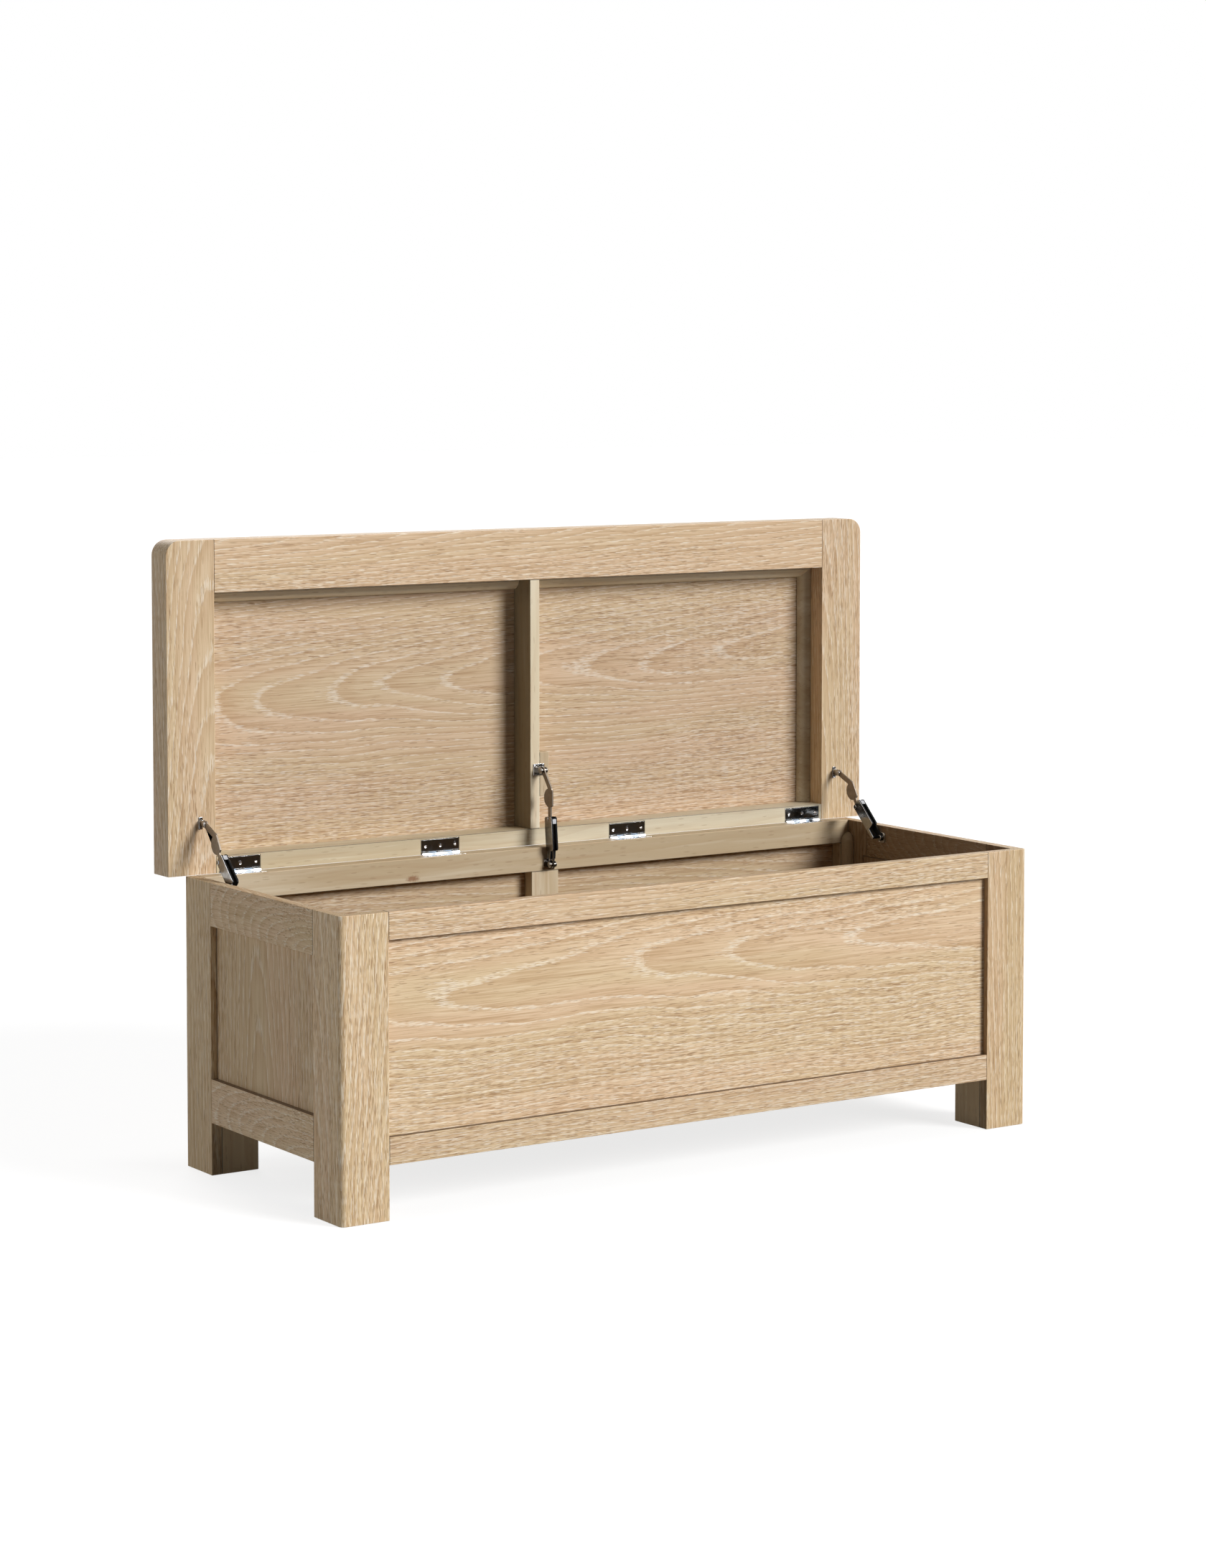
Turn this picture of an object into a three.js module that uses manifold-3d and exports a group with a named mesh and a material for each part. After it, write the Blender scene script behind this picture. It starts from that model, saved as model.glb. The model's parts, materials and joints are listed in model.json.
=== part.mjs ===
// Blanket chest: a frame-and-panel box on four feet with a framed lid on four butt hinges, held
// open by three folding stays. It is drawn with the lid open, in millimetres.
// X runs along the length from the middle, Y from the front to the back and Z up from the ground.
import * as THREE from "three";
import { mergeVertices } from "three/addons/utils/BufferGeometryUtils.js";
import Module from "manifold-3d";

// Box
const boxLength = 1148;
const boxDepth = 432;
const boxHeight = 405.5;
const boardThick = 16;
const panelThick = 6.5;
const stileWidth = 72.5;
const footHeight = 73;
const frontTopRail = 37;
const frontBottomRail = 37;
const sideTopRail = 60;
const sideBottomRail = 61;
const legRound = 8;
const panelLap = 8;

// Back frame and floor
const backThick = 26;
const backPanelThick = 6;
const backStileWidth = 16;
const backTopRail = 35;
const backBottomRail = 37;
const backMuntinWidth = 46;
const floorThick = 9;
const floorAboveFoot = 9;
const floorGroove = 5;
const boxMouldingRadius = 14;
const boxMouldingBelowRim = 18.5;

// Lid
const lidSideOverhang = 26;
const lidFrontOverhang = 31.5;
const lidThick = 50;
const lidStileWidth = 74;
const lidFrontRail = 74;
const lidBackRail = 23;
const lidMuntinWidth = 16;
const lidPanelThick = 5;
const lidCornerRound = 21.5;
const lidEdgeRound = 8;
const lidMouldingRadius = 16;
const packerLength = 65;
const packerWidth = 16;
const packerFromRail = 47.5;

// Hinges: the pin stands behind the box's back and above its rim by the same amount.
const pinStandOff = 0.5;
const hingeLength = 63;
const leafReach = 20.5;
const leafThick = 1.5;
const leafProud = 0.25;
const knuckleRadius = 2.8;
const knuckleCount = 5;
const pinRadius = 1.3;
const hingeFromStile = 37.5;
const hingeShares = [-1, -1 / 3, 1 / 3, 1];
const screwHeadRadius = 3;
const screwHoleRadius = 1.6;
const screwEdge = 6.5;

// Lid stays. An arm runs between the two cheeks of its casing. The flat of its cam faces a turn in
// degrees from the arm's length.
const linkLength = 66.5;
const armThick = 2.5;
const armWidth = 8.2;
const armEyeRadius = 4.5;
const armKneeAlong = 31;
const armKneeAcross = 12.4;
const camRadius = 14;
const camAlong = 42;
const camAcross = 7;
const camFlat = 8;
const camFlatTurn = 76;
const casingWidth = 10;
const casingDepth = 18.5;
const cheekThick = 3;
const casingStart = 20;
const casingPastElbow = 3.5;
const casingCorner = 2.5;
const lugRadius = 3.5;
const footRadius = 2.5;
const sideTabThick = 1.75;
const centreTabThick = 3;
const tabRadius = 5;
const rivetRadius = 3.2;
const rivetProud = 0.8;
const stayPinRadius = 2;
const studRadius = 2.5;
const studHeadRadius = 4;
const studHeadThick = 0.75;
const bracketPlate = 1.5;
const bracketHeight = 17;
const earThick = 1.25;
const earRadius = 4.5;
const earHalfHeight = 4.5;
const centreCollar = 2.8;
const centreFlange = 4;
const wallPlate = 2;
const wallPlateHeight = 16;
const wallPlateDepth = 16;
const stayFromWall = 3;

// Where the stays are pinned, from the lid's hinge, the back rail and the box's rim. The give is
// how much longer an arm and its casing are together than the way between their pins.
const lidPinBehindLidFace = 13;
const sideLidPinUp = 71.5;
const centreLidPinUp = 110.5;
const sideBoxPinFromRail = 85;
const sideBoxPinBelowRim = 18;
const centreCasingFromRail = 0.5;
const centreBoxPinBelowRim = 25;
const centreStayPlace = 6;
const sideGive = 0.15;
const centreGive = 0.5;
const sideCasingOffset = 0.5;
const centreCasingOffset = 2;
const sideCasingTilt = 4.5;
const sideFoot = { along: 6, across: -6 };
const centreFoot = { along: 10, across: 0 };

// Clearances
const fitGap = 0.25;
const runGap = 0.3;
const swingGap = 0.6;
const overrun = 1;
const mergeDistance = 1e-4;

// Steps of the round shapes
const roundSteps = 16;
const holeSteps = 8;
const mouldingSteps = 24;
const cornerSteps = 5;

// Levels and places that follow
const halfLength = boxLength / 2;
const innerHalf = halfLength - boardThick;
const backInner = boxDepth - backThick;
const bodyHalf = halfLength - stileWidth;
const lidHalf = halfLength + lidSideOverhang;
const lidInnerHalf = lidHalf - lidStileWidth;
const lidReach = boxDepth + lidFrontOverhang;
const lidFieldTop = pinStandOff + lidReach - lidFrontRail;
const lidFieldBottom = pinStandOff + lidBackRail;
const lidOuter = pinStandOff + lidThick;
const lidPanelInner = lidOuter - lidPanelThick;
const hingeY = boxDepth + pinStandOff;
const hingeZ = boxHeight + pinStandOff;
const totalDepth = hingeY + lidOuter;
const railTop = boxHeight - backTopRail;
const floorBottom = footHeight + floorAboveFoot;
const floorTop = floorBottom + floorThick;

const wasm = await Module();
wasm.setup();

// A closed geometry as a solid that can be joined and cut.
function solid(geometry) {
  const bare = geometry.index ? geometry.toNonIndexed() : geometry.clone();
  bare.deleteAttribute("normal");
  bare.deleteAttribute("uv");
  const merged = mergeVertices(bare, mergeDistance);
  const vertProperties = merged.attributes.position.array;
  const triVerts = new Uint32Array(merged.index.array);
  return new wasm.Manifold(new wasm.Mesh({ numProp: 3, vertProperties, triVerts }));
}

// A solid's surface as a geometry with flat faces.
function surface(made) {
  const mesh = made.getMesh();
  const geometry = new THREE.BufferGeometry();
  const position = new THREE.BufferAttribute(new Float32Array(mesh.vertProperties), 3);
  geometry.setAttribute("position", position);
  geometry.setIndex(new THREE.BufferAttribute(new Uint32Array(mesh.triVerts), 1));
  const flat = geometry.toNonIndexed();
  flat.computeVertexNormals();
  return flat;
}

// A block between two places on each axis.
function block(x, y, z) {
  const geometry = new THREE.BoxGeometry(x[1] - x[0], y[1] - y[0], z[1] - z[0]);
  geometry.translate((x[0] + x[1]) / 2, (y[0] + y[1]) / 2, (z[0] + z[1]) / 2);
  return solid(geometry);
}

const around = (middle, width) => [middle - width / 2, middle + width / 2];
const grown = (range, by) => [range[0] - by, range[1] + by];

// A round bar along one axis, from one place on it to another.
function bar(axis, centre, radius, range, steps = roundSteps) {
  const geometry = new THREE.CylinderGeometry(radius, radius, range[1] - range[0], steps);
  if (axis === "x") geometry.rotateZ(Math.PI / 2);
  if (axis === "z") geometry.rotateX(Math.PI / 2);
  const middle = (range[0] + range[1]) / 2;
  const place = { x: [middle, ...centre], y: [centre[0], middle, centre[1]], z: [...centre, middle] };
  geometry.translate(...place[axis]);
  return solid(geometry);
}

// A flat outline drawn in Y and Z, made thick along X.
function plate(shape, x) {
  const options = { depth: x[1] - x[0], bevelEnabled: false, curveSegments: roundSteps / 2 };
  const geometry = new THREE.ExtrudeGeometry(shape, options);
  const alongY = new THREE.Vector3(0, 1, 0);
  const alongZ = new THREE.Vector3(0, 0, 1);
  const alongX = new THREE.Vector3(1, 0, 0);
  geometry.applyMatrix4(new THREE.Matrix4().makeBasis(alongY, alongZ, alongX));
  return solid(geometry.translate(x[0], 0, 0));
}

// The outline of a strip with round ends from one point to another.
function strip(from, to, radius) {
  const turn = Math.atan2(to[1] - from[1], to[0] - from[0]);
  const shape = new THREE.Shape();
  shape.absarc(to[0], to[1], radius, turn - Math.PI / 2, turn + Math.PI / 2);
  shape.absarc(from[0], from[1], radius, turn + Math.PI / 2, turn + (3 * Math.PI) / 2);
  shape.closePath();
  return shape;
}

// The outline of a rectangle with its corners cut off.
function chamfered(y, z, corner) {
  const shape = new THREE.Shape();
  shape.moveTo(y[0] + corner, z[0]);
  shape.lineTo(y[1] - corner, z[0]);
  shape.lineTo(y[1], z[0] + corner);
  shape.lineTo(y[1], z[1] - corner);
  shape.lineTo(y[1] - corner, z[1]);
  shape.lineTo(y[0] + corner, z[1]);
  shape.lineTo(y[0], z[1] - corner);
  shape.lineTo(y[0], z[0] + corner);
  shape.closePath();
  return shape;
}

const limedOak = { color: 0xb59d77, roughness: 0.6, metalness: 0 };
const paleWood = { color: 0xbdb093, roughness: 0.6, metalness: 0 };
const chrome = { color: 0xc9cacc, roughness: 0.15, metalness: 1 };
const darkChrome = { color: 0x4a4744, roughness: 0.25, metalness: 1 };

function piece(group, name, made, finish) {
  const mesh = new THREE.Mesh(surface(made), new THREE.MeshStandardMaterial(finish));
  mesh.name = name;
  group.add(mesh);
}

const chest = new THREE.Group();
const leftSide = new THREE.Group();
const rightSide = new THREE.Group();
rightSide.scale.x = -1;
chest.add(leftSide, rightSide);
const sides = [
  ["left", leftSide],
  ["right", rightSide],
];

// Panels of the box. Each lies in a rebate cut round the inside of its frame.
const panelInner = boardThick - panelThick;
const frontField = {
  x: [-bodyHalf, bodyHalf],
  z: [footHeight + frontBottomRail, boxHeight - frontTopRail],
};
const sideField = {
  y: [stileWidth, boxDepth - stileWidth],
  z: [footHeight + sideBottomRail, boxHeight - sideTopRail],
};
const backStileInner = innerHalf - backStileWidth;
const backField = { x: [-backStileInner, backStileInner], z: [footHeight + backBottomRail, railTop] };
const panelLip = panelLap + fitGap;

const frontPanel = block(
  grown(frontField.x, panelLap),
  [panelInner, boardThick],
  grown(frontField.z, panelLap),
);
const frontRebate = block(
  grown(frontField.x, panelLip),
  [panelInner, boardThick + overrun],
  grown(frontField.z, panelLip),
);
const sidePanel = block(
  [panelInner - halfLength, -innerHalf],
  grown(sideField.y, panelLap),
  grown(sideField.z, panelLap),
);
const sideRebate = block(
  [panelInner - halfLength, overrun - innerHalf],
  grown(sideField.y, panelLip),
  grown(sideField.z, panelLip),
);
const backPanel = block(
  grown(backField.x, panelLap),
  [boxDepth - backPanelThick, boxDepth],
  grown(backField.z, panelLap),
);
const backRebate = block(
  grown(backField.x, panelLip),
  [boxDepth - backPanelThick, boxDepth + overrun],
  grown(backField.z, panelLip),
);
const floorPanel = block(
  grown([-innerHalf, innerHalf], floorGroove),
  grown([boardThick, backInner], floorGroove),
  [floorBottom, floorTop],
);
const floorCut = block(
  grown([-innerHalf, innerHalf], floorGroove + fitGap),
  grown([boardThick, backInner], floorGroove + fitGap),
  [floorBottom, floorTop],
);

piece(chest, "front_panel", frontPanel, limedOak);
piece(chest, "back_panel", backPanel, limedOak);
piece(chest, "floor_panel", floorPanel, paleWood);

// A front corner: a front stile and a side stile mitred into one leg with a rounded arris.
function frontLeg() {
  const corner = new THREE.Shape();
  corner.absarc(legRound - halfLength, legRound, legRound, Math.PI, (3 * Math.PI) / 2);
  corner.lineTo(-bodyHalf, 0);
  corner.lineTo(-bodyHalf, boardThick);
  corner.lineTo(-innerHalf, boardThick);
  corner.lineTo(-innerHalf, stileWidth);
  corner.lineTo(-halfLength, stileWidth);
  corner.closePath();
  const options = { depth: boxHeight, bevelEnabled: false, curveSegments: cornerSteps };
  const leg = solid(new THREE.ExtrudeGeometry(corner, options));
  return leg.subtract(frontRebate).subtract(sideRebate).subtract(floorCut);
}

// A quarter-round moulding in a back corner, with a round top end.
function cornerMoulding() {
  const bottom = floorTop;
  const top = boxHeight - boxMouldingBelowRim;
  const radius = boxMouldingRadius;
  const profile = [new THREE.Vector2(0, bottom), new THREE.Vector2(radius, bottom)];
  for (let step = 0; step <= cornerSteps; step++) {
    const turn = (step / cornerSteps) * (Math.PI / 2);
    const out = step < cornerSteps ? radius * Math.cos(turn) : 0;
    profile.push(new THREE.Vector2(out, top - radius + radius * Math.sin(turn)));
  }
  const round = new THREE.LatheGeometry(profile, mouldingSteps).rotateX(Math.PI / 2);
  round.translate(-innerHalf, backInner, 0);
  const quarter = block([-innerHalf, radius - innerHalf], [backInner - radius, backInner], [bottom, top]);
  return solid(round).intersect(quarter);
}

for (const [side, group] of sides) {
  const boardX = [-halfLength, -innerHalf];
  const footX = [-innerHalf, -bodyHalf];
  const backStileY = [boxDepth - stileWidth, boxDepth];
  const topRail = block(boardX, sideField.y, [boxHeight - sideTopRail, boxHeight]);
  const bottomRail = block(boardX, sideField.y, [footHeight, footHeight + sideBottomRail]);
  const rearStile = block(boardX, backStileY, [0, boxHeight]);
  const backStile = block([-innerHalf, -backStileInner], [backInner, boxDepth], [footHeight, railTop]);
  const frontFoot = block(footX, [boardThick, stileWidth], [0, footHeight]);
  const backFoot = block(footX, backStileY, [0, footHeight]);
  piece(group, "leg_front_" + side, frontLeg(), limedOak);
  piece(group, "stile_rear_" + side, rearStile.subtract(sideRebate).subtract(floorCut), limedOak);
  piece(group, "side_top_rail_" + side, topRail.subtract(sideRebate), limedOak);
  piece(group, "side_bottom_rail_" + side, bottomRail.subtract(sideRebate).subtract(floorCut), limedOak);
  piece(group, "side_panel_" + side, sidePanel, limedOak);
  piece(group, "back_stile_" + side, backStile.subtract(backRebate).subtract(floorCut), paleWood);
  piece(group, "foot_block_front_" + side, frontFoot, paleWood);
  piece(group, "foot_block_back_" + side, backFoot, paleWood);
  piece(group, "corner_moulding_" + side, cornerMoulding(), paleWood);
}

// Front rails
const frontTop = block(frontField.x, [0, boardThick], [frontField.z[1], boxHeight]);
const frontBottom = block(frontField.x, [0, boardThick], [footHeight, frontField.z[0]]);
piece(chest, "front_top_rail", frontTop.subtract(frontRebate), limedOak);
piece(chest, "front_bottom_rail", frontBottom.subtract(frontRebate).subtract(floorCut), limedOak);

// What each hinge needs cut away: a shallow seat for a leaf and a groove for its knuckles.
const leafStart = knuckleRadius + swingGap + fitGap;
const leafSink = leafThick - leafProud;
const hingePlaces = hingeShares.map((share) => share * (lidInnerHalf - hingeFromStile));
const leafX = (place) => around(place, hingeLength);

function hingeGroove(place, y, z) {
  return bar("x", [y, z], knuckleRadius + swingGap, grown(leafX(place), fitGap));
}

// Back frame
let backTop = block([-innerHalf, innerHalf], [backInner, boxDepth], [railTop, boxHeight]);
backTop = backTop.subtract(backRebate);
for (const place of hingePlaces) {
  const seatY = [hingeY - leafReach - fitGap, boxDepth + overrun];
  const seat = block(grown(leafX(place), fitGap), seatY, [boxHeight - leafSink, boxHeight + overrun]);
  backTop = backTop.subtract(seat).subtract(hingeGroove(place, hingeY, hingeZ));
}
const backBottom = block(backField.x, [backInner, boxDepth], [footHeight, backField.z[0]]);
const backMuntin = block(
  around(0, backMuntinWidth),
  [backInner, boxDepth - backPanelThick],
  backField.z,
);
piece(chest, "back_top_rail", backTop, paleWood);
piece(chest, "back_bottom_rail", backBottom.subtract(backRebate).subtract(floorCut), paleWood);
piece(chest, "back_muntin", backMuntin, paleWood);

// The lid stands open. Its group has its origin on the hinge pin, with Y through its thickness and
// Z from its back edge to its front edge.
const lid = new THREE.Group();
lid.position.set(0, hingeY, hingeZ);
const lidFrame = [pinStandOff, lidOuter];
const lidTop = pinStandOff + lidReach;

// The whole lid's outline with its two round front corners and a rounded outer edge.
function lidBlank() {
  const edge = new THREE.Shape();
  const low = lidEdgeRound + overrun;
  const round = lidCornerRound;
  edge.moveTo(-lidHalf, low);
  edge.lineTo(lidHalf, low);
  edge.lineTo(lidHalf, round - lidTop);
  edge.absarc(lidHalf - round, round - lidTop, round, 0, -Math.PI / 2, true);
  edge.absarc(round - lidHalf, round - lidTop, round, -Math.PI / 2, -Math.PI, true);
  edge.closePath();
  const geometry = new THREE.ExtrudeGeometry(edge, {
    depth: lidThick,
    bevelEnabled: true,
    bevelThickness: lidEdgeRound,
    bevelSize: lidEdgeRound,
    bevelOffset: -lidEdgeRound,
    bevelSegments: cornerSteps,
    curveSegments: cornerSteps,
  });
  geometry.rotateX(-Math.PI / 2);
  geometry.translate(0, lidOuter - lidThick - lidEdgeRound, 0);
  return solid(geometry);
}

const lidField = { x: [-lidInnerHalf, lidInnerHalf], z: [lidFieldBottom, lidFieldTop] };
const lidPanel = block(grown(lidField.x, panelLap), [lidPanelInner, lidOuter], grown(lidField.z, panelLap));
const lidRebate = block(
  grown(lidField.x, panelLip),
  [lidPanelInner, lidOuter + overrun],
  grown(lidField.z, panelLip),
);
const blank = lidBlank();

for (const [side, sign] of [
  ["left", -1],
  ["right", 1],
]) {
  const x = sign < 0 ? [-lidHalf, -lidInnerHalf] : [lidInnerHalf, lidHalf];
  const stile = blank.intersect(block(x, lidFrame, [pinStandOff, lidTop]));
  piece(lid, "lid_stile_" + side, stile.subtract(lidRebate), limedOak);
}
const lidFront = blank.intersect(block(lidField.x, lidFrame, [lidFieldTop, lidTop]));
piece(lid, "lid_front_rail", lidFront.subtract(lidRebate), limedOak);

let lidBack = block(lidField.x, lidFrame, [pinStandOff, lidFieldBottom]).subtract(lidRebate);
for (const place of hingePlaces) {
  const seatY = [pinStandOff - overrun, pinStandOff + leafSink];
  const seat = block(grown(leafX(place), fitGap), seatY, [0, leafReach + fitGap]);
  lidBack = lidBack.subtract(seat).subtract(hingeGroove(place, 0, 0));
}
piece(lid, "lid_back_rail", lidBack, paleWood);

const lidCoreY = [pinStandOff, lidPanelInner];
const packerZ = [lidFieldBottom + packerFromRail, lidFieldBottom + packerFromRail + packerLength];
const packerX = [lidMuntinWidth / 2, lidMuntinWidth / 2 + packerWidth];
piece(lid, "lid_panel", lidPanel, limedOak);
piece(lid, "lid_muntin", block(around(0, lidMuntinWidth), lidCoreY, lidField.z), paleWood);
piece(lid, "lid_packer", block(packerX, lidCoreY, packerZ), paleWood);

// Quarter-round beads in the corners of the panel with the front rail and with a stile.
function lidBead(sign) {
  const inner = sign < 0 ? [-lidInnerHalf, -lidMuntinWidth / 2] : [lidMuntinWidth / 2, lidInnerHalf];
  const edge = sign * lidInnerHalf;
  const radius = lidMouldingRadius;
  const bandY = [lidPanelInner - radius, lidPanelInner];
  const stileX = sign < 0 ? [edge, edge + radius] : [edge - radius, edge];
  const alongRail = bar("x", [lidPanelInner, lidFieldTop], radius, inner, mouldingSteps);
  const alongStile = bar("z", [edge, lidPanelInner], radius, lidField.z, mouldingSteps);
  const railPart = alongRail.intersect(block(inner, bandY, [lidFieldTop - radius, lidFieldTop]));
  return railPart.add(alongStile.intersect(block(stileX, bandY, lidField.z)));
}
piece(lid, "lid_bead_left", lidBead(-1), paleWood);
piece(lid, "lid_bead_right", lidBead(1), paleWood);

// Butt hinges. A leaf is drawn lying back from its pin along -Y with its outer face up, and the
// lid's leaf is the same shape with the other knuckles, stood up against the lid.
function hingeLeaf(knuckles) {
  const knuckle = hingeLength / knuckleCount;
  const faceZ = leafProud - pinStandOff;
  const thick = [faceZ - leafThick, faceZ];
  let leaf = block(around(0, hingeLength), [-leafReach, -leafStart], thick);
  for (const index of knuckles) {
    const start = index * knuckle - hingeLength / 2;
    const x = grown([start, start + knuckle], -fitGap / 2);
    leaf = leaf.add(block(x, [-leafStart, 0], thick));
    leaf = leaf.add(bar("x", [0, 0], knuckleRadius, x));
  }
  const bore = bar("x", [0, 0], pinRadius + runGap, grown(around(0, hingeLength), overrun));
  leaf = leaf.subtract(bore);
  for (const place of [screwEdge - hingeLength / 2, 0, hingeLength / 2 - screwEdge]) {
    const depth = leafThick + 2 * overrun;
    const hole = new THREE.CylinderGeometry(screwHoleRadius, screwHoleRadius, depth, holeSteps);
    hole.rotateX(Math.PI / 2);
    hole.translate(place, -(leafReach + leafStart) / 2, faceZ - leafThick / 2);
    const sink = new THREE.CylinderGeometry(screwHeadRadius, screwHoleRadius, leafThick, holeSteps);
    sink.rotateX(Math.PI / 2);
    sink.translate(place, -(leafReach + leafStart) / 2, faceZ - leafThick / 2 + fitGap / 2);
    leaf = leaf.subtract(solid(hole)).subtract(solid(sink));
  }
  return leaf;
}

// A leaf turned over and stood up about the pin's line: the leaf of the lid, open at a right angle.
function stoodUp(made) {
  return solid(surface(made).rotateY(Math.PI).rotateX(-Math.PI / 2));
}

hingePlaces.forEach((place, index) => {
  const name = "hinge_" + (index + 1);
  const fixed = new THREE.Group();
  fixed.position.set(place, hingeY, hingeZ);
  chest.add(fixed);
  const moving = new THREE.Group();
  moving.position.set(place, 0, 0);
  lid.add(moving);
  piece(fixed, name + "_box_leaf", hingeLeaf([0, 2, 4]), chrome);
  piece(moving, name + "_lid_leaf", stoodUp(hingeLeaf([1, 3])), chrome);
  piece(fixed, name + "_pin", bar("x", [0, 0], pinRadius, around(0, hingeLength)), chrome);
});

// Lid stays. Each has an arm pinned to the lid and a casing pinned to the box, joined at the elbow.
// The stay's group has its origin in the middle of the arm's thickness.
const stayHalf = casingWidth / 2;
const casingX = [-stayHalf, stayHalf];
const slotX = [cheekThick - stayHalf, stayHalf - cheekThick];
const armX = around(0, armThick);
const sideTabX = [-stayHalf, sideTabThick - stayHalf];
const centreTabX = around(0, centreTabThick);

// A solid turned about the pin that its outline is drawn from.
function turned(made, degrees) {
  return solid(surface(made).rotateX(THREE.MathUtils.degToRad(degrees)));
}

// The angle of the casing and of the arm, and the arm's length, from the pins of the lid and the box.
function elbowAngles(lidPin, boxPin, bend, give) {
  const apart = Math.hypot(lidPin.y - boxPin.y, lidPin.z - boxPin.z);
  const armLength = apart + give - linkLength;
  const line = Math.atan2(lidPin.z - boxPin.z, lidPin.y - boxPin.y);
  const along = (apart ** 2 + linkLength ** 2 - armLength ** 2) / (2 * apart);
  const casing = line + bend * Math.acos(along / linkLength);
  const elbow = {
    y: boxPin.y + linkLength * Math.cos(casing),
    z: boxPin.z + linkLength * Math.sin(casing),
  };
  return { casing, arm: Math.atan2(elbow.z - lidPin.z, elbow.y - lidPin.y), armLength };
}

// An arm runs along +Y from its pin, with a knee to the front and a round cam with a flat.
function stayArm(armLength) {
  const knee = [armKneeAlong, -armKneeAcross];
  const cam = [camAlong, -camAcross];
  const flatTurn = THREE.MathUtils.degToRad(camFlatTurn);
  const flatHalf = Math.acos(camFlat / camRadius);
  const round = new THREE.Shape();
  round.absarc(...cam, camRadius, flatHalf - flatTurn, 2 * Math.PI - flatHalf - flatTurn);
  round.closePath();
  const pinHole = bar("x", [0, 0], stayPinRadius + runGap, grown(armX, overrun));
  return plate(strip([0, 0], knee, armWidth / 2), armX)
    .add(bar("x", [0, 0], armEyeRadius, armX))
    .add(plate(round, armX))
    .add(plate(strip(cam, [armLength, 0], lugRadius), armX))
    .subtract(pinHole);
}

// A casing runs along +Y from its pin: two deep cheeks with a slot between them, joined at a foot
// near the pin, where the arm never comes, and a thin tab that holds the pin.
function stayCasing(offset, tilt, foot, tabX) {
  const casingEnd = linkLength + casingPastElbow;
  const footPlace = [foot.along, foot.across];
  const footEnd = [casingStart + footRadius, offset + foot.across];
  const tabEnd = [casingStart + tabRadius, offset / 2];
  const outline = chamfered([casingStart, casingEnd], around(offset, casingDepth), casingCorner);
  const slotZ = grown(around(offset, casingDepth), casingDepth);
  const slot = block(slotX, [-casingEnd, casingEnd + overrun], slotZ);
  const cheeks = plate(outline, casingX).add(plate(strip(footPlace, footEnd, footRadius), casingX));
  const joined = cheeks.subtract(slot).add(bar("x", footPlace, footRadius, casingX));
  const body = turned(joined.add(plate(strip([0, 0], tabEnd, tabRadius), tabX)), tilt);
  return body
    .add(bar("x", [linkLength, 0], rivetRadius, [casingX[0] - rivetProud, slotX[0]]))
    .add(bar("x", [linkLength, 0], rivetRadius, [slotX[1], casingX[1] + rivetProud]))
    .subtract(bar("x", [0, 0], studRadius + runGap, grown(tabX, overrun)));
}

// A bracket on a face that looks to -Y: a plate, two ears and a pin. Its origin is on the pin.
function earBracket(fromFace, collarWidth, flange, radius, heldX) {
  const gap = grown(heldX, collarWidth);
  const ears = grown(gap, earThick);
  const base = [fromFace - bracketPlate, fromFace];
  const ear = new THREE.Shape();
  ear.absarc(0, 0, earRadius, Math.PI / 2, (3 * Math.PI) / 2);
  ear.lineTo(base[0], -earHalfHeight);
  ear.lineTo(base[1], -earHalfHeight);
  ear.lineTo(base[1], earHalfHeight);
  ear.lineTo(base[0], earHalfHeight);
  ear.closePath();
  const collar = grown(heldX, fitGap);
  const heads = grown(ears, rivetProud);
  let made = block(grown(ears, flange), base, around(0, bracketHeight));
  made = made.add(plate(ear, [ears[0], gap[0]])).add(plate(ear, [gap[1], ears[1]]));
  made = made.add(bar("x", [0, 0], radius, ears));
  made = made.add(bar("x", [0, 0], rivetRadius, [heads[0], collar[0]]));
  return made.add(bar("x", [0, 0], rivetRadius, [collar[1], heads[1]]));
}

// A bracket on the side wall: a plate and a headed stud that stands out from it.
function wallBracket() {
  const wall = -stayHalf - stayFromWall;
  const face = wall + wallPlate;
  const head = [sideTabX[1] + fitGap, sideTabX[1] + fitGap + studHeadThick];
  const plateShape = chamfered(around(0, wallPlateDepth), around(0, wallPlateHeight), casingCorner);
  return plate(plateShape, [wall, face])
    .add(bar("x", [0, 0], studRadius, [wall, head[1]]))
    .add(bar("x", [0, 0], studHeadRadius, [wall, sideTabX[0] - fitGap]))
    .add(bar("x", [0, 0], studHeadRadius, head));
}

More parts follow.
